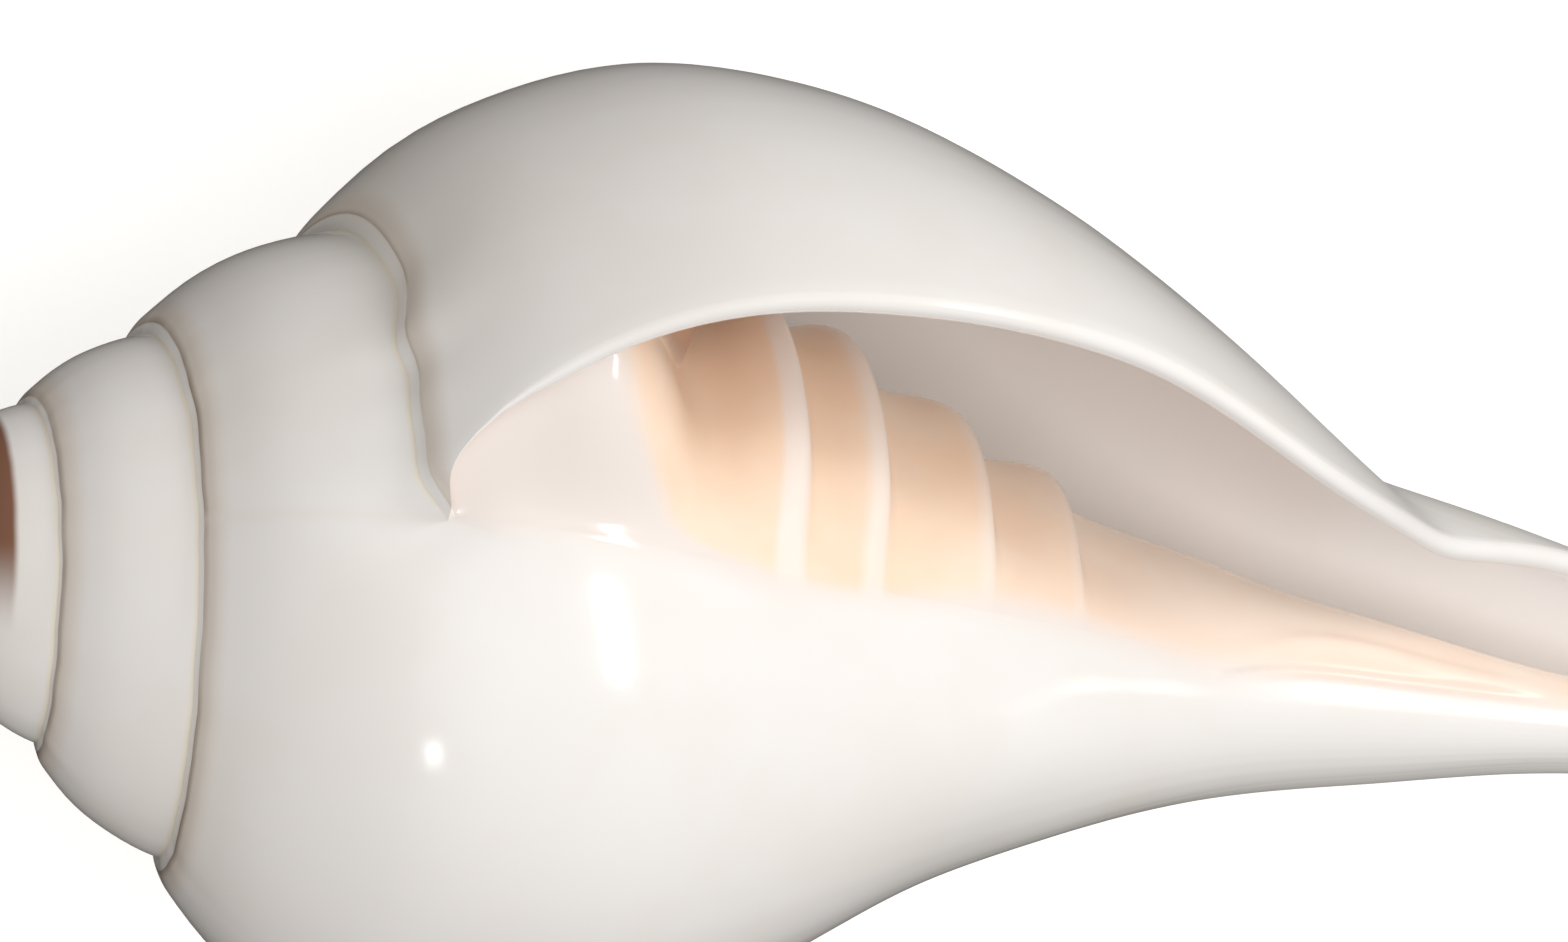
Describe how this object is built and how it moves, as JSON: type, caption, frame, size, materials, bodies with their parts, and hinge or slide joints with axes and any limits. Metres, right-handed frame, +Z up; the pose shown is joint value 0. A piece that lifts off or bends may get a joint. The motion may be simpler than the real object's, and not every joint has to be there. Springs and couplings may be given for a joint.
{
  "type": "conch shell",
  "caption": "Polished white conch shell with a stepped spire, an open mouth with a folded columella, and a long canal, lying on its back.",
  "frame": {"origin": "on the ground under the middle of the bounding box, as the shell lies on its back", "axes": "+Z up, out of the mouth; +X along the shell from the spire to the canal; +Y towards the outer lip"},
  "size_m": [0.1438, 0.0766, 0.0734],
  "materials": {
    "shell": "polished, cream white outside, peach and taupe inside the mouth"
  },
  "bodies": {
    "root": {"shell": "shell"}
  },
  "joints": []
}
